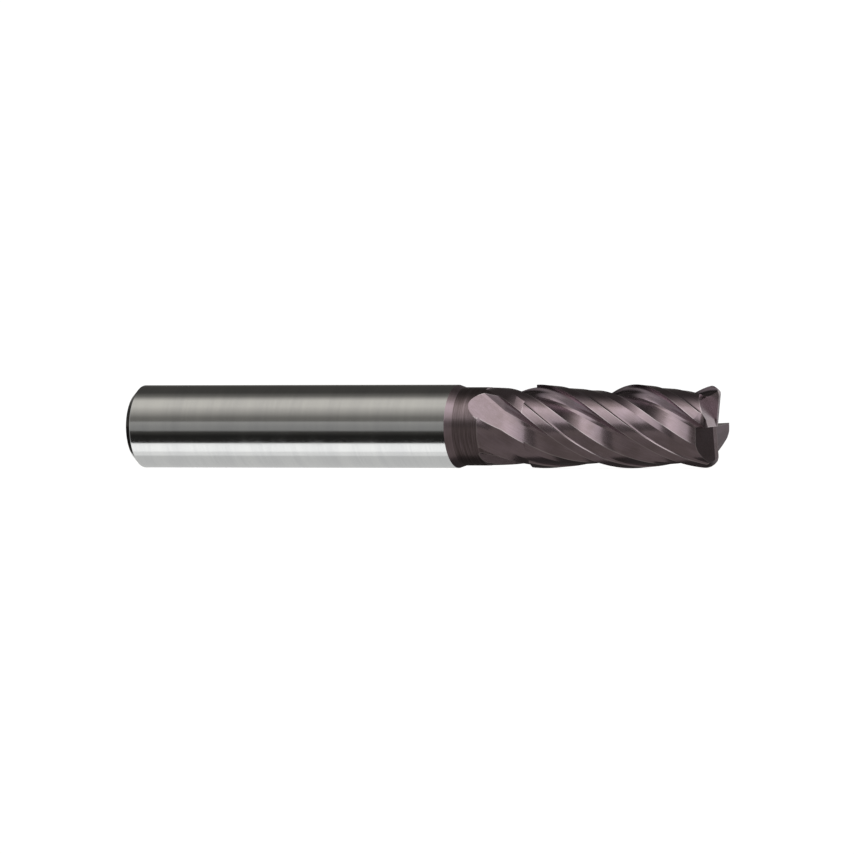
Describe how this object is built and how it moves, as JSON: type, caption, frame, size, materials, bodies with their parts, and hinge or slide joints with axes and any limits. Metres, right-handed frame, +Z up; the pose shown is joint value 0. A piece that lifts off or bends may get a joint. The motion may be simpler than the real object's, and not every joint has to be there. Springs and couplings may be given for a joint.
{
  "type": "end mill",
  "caption": "Solid carbide end mill with a plain ground shank, a relieved coated neck and helical flutes that end in rounded corners.",
  "frame": {"origin": "centre of the flat rear face of the shank", "axes": "+X along the tool axis from the shank to the cutting end, +Z up with the tool lying on its side, and one end cutting edge along +Y"},
  "size_m": [0.075, 0.01, 0.01],
  "materials": {
    "ground_carbide": "cylindrical ground to a near mirror, bare",
    "coated_carbide": "thin purple-brown hard coating over fine grinding marks"
  },
  "bodies": {
    "root": {"shank": "ground_carbide", "neck": "coated_carbide", "core": "coated_carbide", "helical_tooth_1": "coated_carbide", "helical_tooth_2": "coated_carbide", "helical_tooth_3": "coated_carbide", "helical_tooth_4": "coated_carbide", "end_tooth_1": "coated_carbide", "end_tooth_2": "coated_carbide", "end_tooth_3": "coated_carbide", "end_tooth_4": "coated_carbide"}
  },
  "joints": []
}
